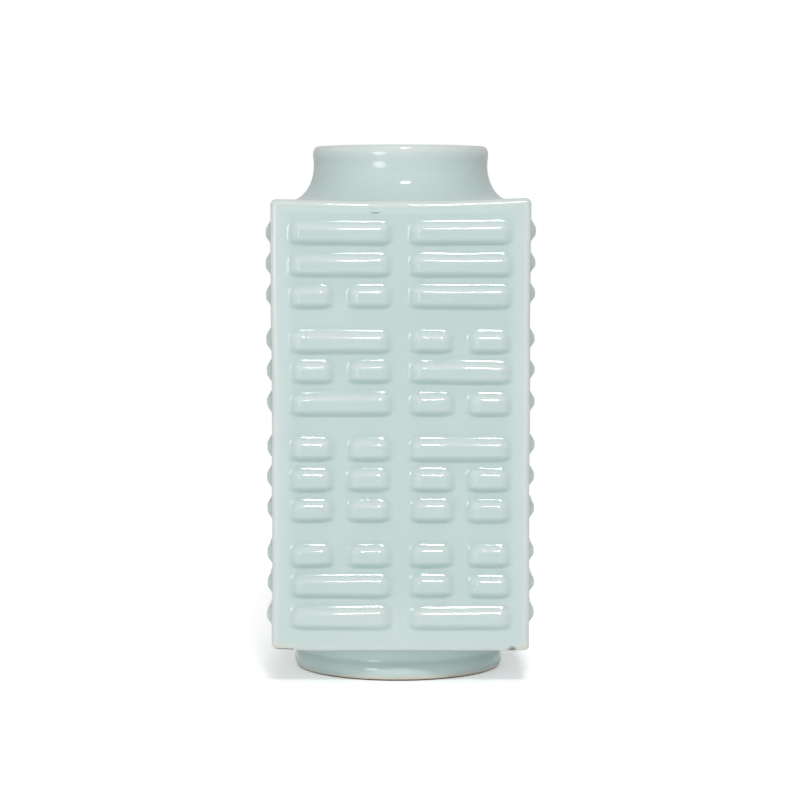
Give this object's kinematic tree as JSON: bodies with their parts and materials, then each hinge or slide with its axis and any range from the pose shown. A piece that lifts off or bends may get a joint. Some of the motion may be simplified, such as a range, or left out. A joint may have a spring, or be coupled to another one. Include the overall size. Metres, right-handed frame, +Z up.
{
  "type": "cong vase",
  "caption": "Square celadon porcelain vase with a short round neck, a round foot ring and the trigrams in relief on every side.",
  "frame": {"origin": "centre of the foot ring's rim, on the surface that the vase stands on", "axes": "+Z up along the vase's axis, -Y out of the front wall, +X to the right as seen from the front"},
  "size_m": [0.1406, 0.1406, 0.28],
  "materials": {
    "celadon_porcelain": "glossy celadon glaze over white porcelain, bare clay on the rim of the foot"
  },
  "bodies": {
    "root": {"neck": "celadon_porcelain", "shoulder_slab": "celadon_porcelain", "front_wall": "celadon_porcelain", "right_wall": "celadon_porcelain", "back_wall": "celadon_porcelain", "left_wall": "celadon_porcelain", "base_slab": "celadon_porcelain", "foot_ring": "celadon_porcelain", "front_left_clay_strip": "celadon_porcelain", "front_right_clay_strip": "celadon_porcelain", "back_right_clay_strip": "celadon_porcelain", "back_left_clay_strip": "celadon_porcelain"}
  },
  "joints": []
}
